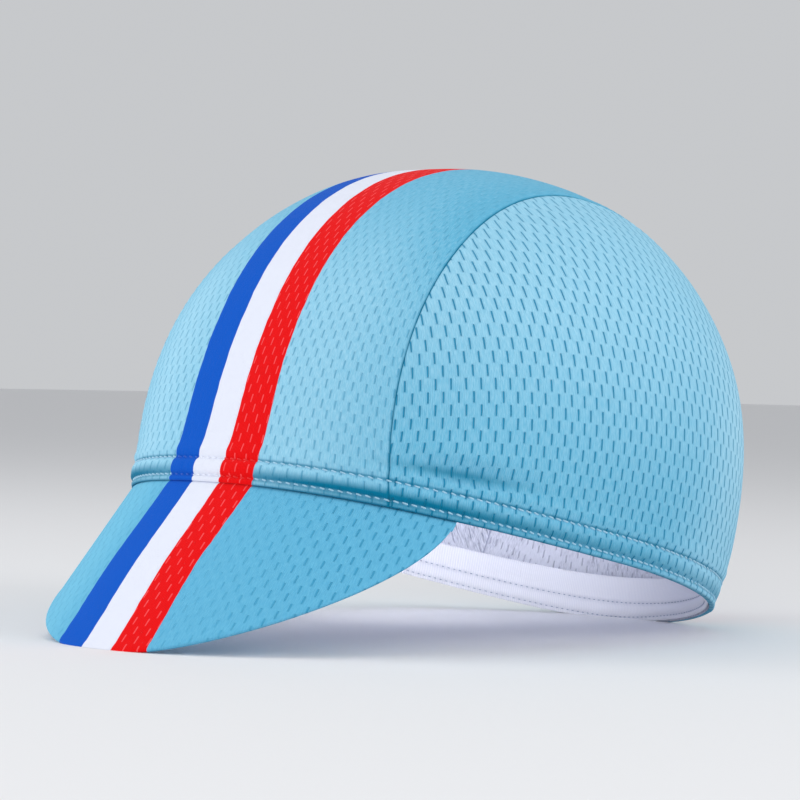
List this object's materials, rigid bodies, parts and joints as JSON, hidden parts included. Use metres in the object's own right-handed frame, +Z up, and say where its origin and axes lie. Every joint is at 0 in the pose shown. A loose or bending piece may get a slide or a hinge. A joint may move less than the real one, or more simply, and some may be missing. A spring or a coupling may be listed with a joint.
{
  "type": "cycling cap",
  "caption": "Soft cycling cap with a three-panel mesh crown, padded hem, inner sweatband and short arched peak, worn on the head for sun and sweat.",
  "frame": {"origin": "centre of the footprint, on the surface the cap rests on", "axes": "+Z up, the peak towards -Y, the wearer's left towards +X"},
  "size_m": [0.1736, 0.23, 0.1448],
  "materials": {
    "crown_mesh": "light blue polyester bird's-eye mesh, matt, with a printed blue, white and red stripe",
    "sweatband_cotton": "white ribbed cotton, matt",
    "peak_cover": "light blue polyester mesh stretched over the peak, matt, with the same printed stripe"
  },
  "bodies": {
    "root": {"crown_centre_panel": "crown_mesh", "crown_side_panel_left": "crown_mesh", "crown_side_panel_right": "crown_mesh", "sweatband": "sweatband_cotton", "peak": "peak_cover"}
  },
  "joints": []
}
